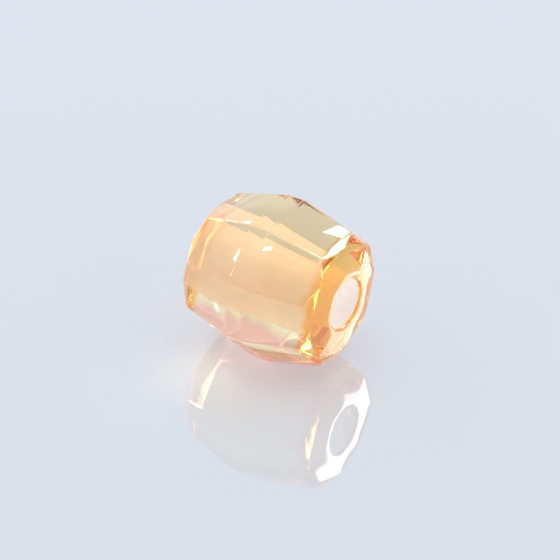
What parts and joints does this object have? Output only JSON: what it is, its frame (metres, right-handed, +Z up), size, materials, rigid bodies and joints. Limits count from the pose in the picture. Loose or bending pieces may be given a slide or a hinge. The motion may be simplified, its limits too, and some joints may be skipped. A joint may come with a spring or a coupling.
{
  "type": "faceted barrel bead",
  "caption": "Small clear pale-orange glass bead, barrel shaped, cut with flat facets round a lengthwise bore; it lies on a flat of its narrow belt.",
  "frame": {"origin": "on the surface that the bead lies on, under its middle", "axes": "+X along the bore, +Z up from the flat of the belt that it lies on"},
  "size_m": [0.006, 0.0062, 0.006],
  "materials": {
    "crystal": "fire-polished clear glass, pale champagne through the middle and deeper orange at the ends"
  },
  "bodies": {
    "root": {"bead": "crystal"}
  },
  "joints": []
}
